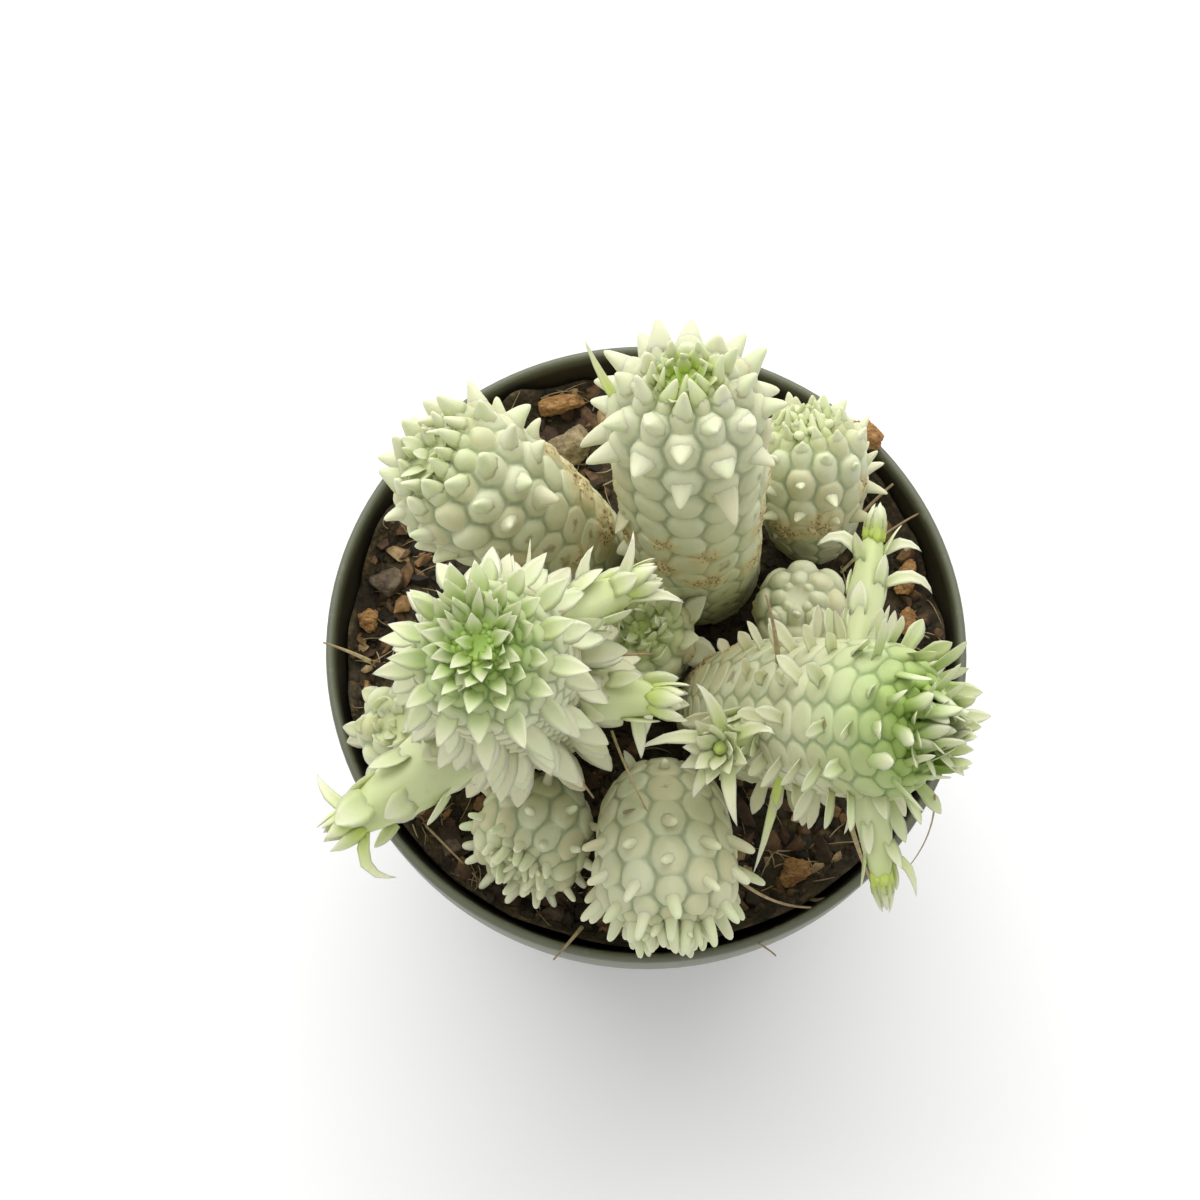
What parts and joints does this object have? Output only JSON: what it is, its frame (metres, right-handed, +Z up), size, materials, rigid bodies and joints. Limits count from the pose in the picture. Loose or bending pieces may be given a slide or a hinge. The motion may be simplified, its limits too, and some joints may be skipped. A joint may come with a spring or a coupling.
{
  "type": "potted corncob euphorbia",
  "caption": "Succulent in a round nursery pot: a clump of knobbly corncob stems with hexagonal tubercles and small pale leaves at their heads, standing in dark peat.",
  "frame": {"origin": "the middle of the pot's flat underside, where it rests on a surface", "axes": "+Z up through the middle of the pot; +X to the right and +Y to the back as the picture sees it"},
  "size_m": [0.085, 0.085, 0.1342],
  "materials": {
    "pot": "satin grey-green moulded polypropylene",
    "soil": "dark, loose, fibrous peat",
    "stem": "waxy pale grey-green skin, cream and green leaves",
    "bark": "rough tan bark chip",
    "pumice": "rough grey-tan pumice",
    "stone": "dull mauve-brown grit"
  },
  "bodies": {
    "root": {"pot": "pot", "soil": "soil", "stem_back": "stem", "stem_back_left": "stem", "stem_back_right": "stem", "stem_left": "stem", "stem_right": "stem", "stem_front": "stem", "stem_front_left": "stem", "stem_far_left": "stem", "stem_middle": "stem", "stem_inner_right": "stem", "bark_rim": "bark", "bark_back": "bark", "bark_left": "bark", "bark_far_left": "bark", "bark_right": "bark", "bark_inner_right": "bark", "bark_front_right": "bark", "pumice_back": "pumice", "stone_left": "stone", "stone_front_left": "stone", "stone_front": "stone"}
  },
  "joints": []
}
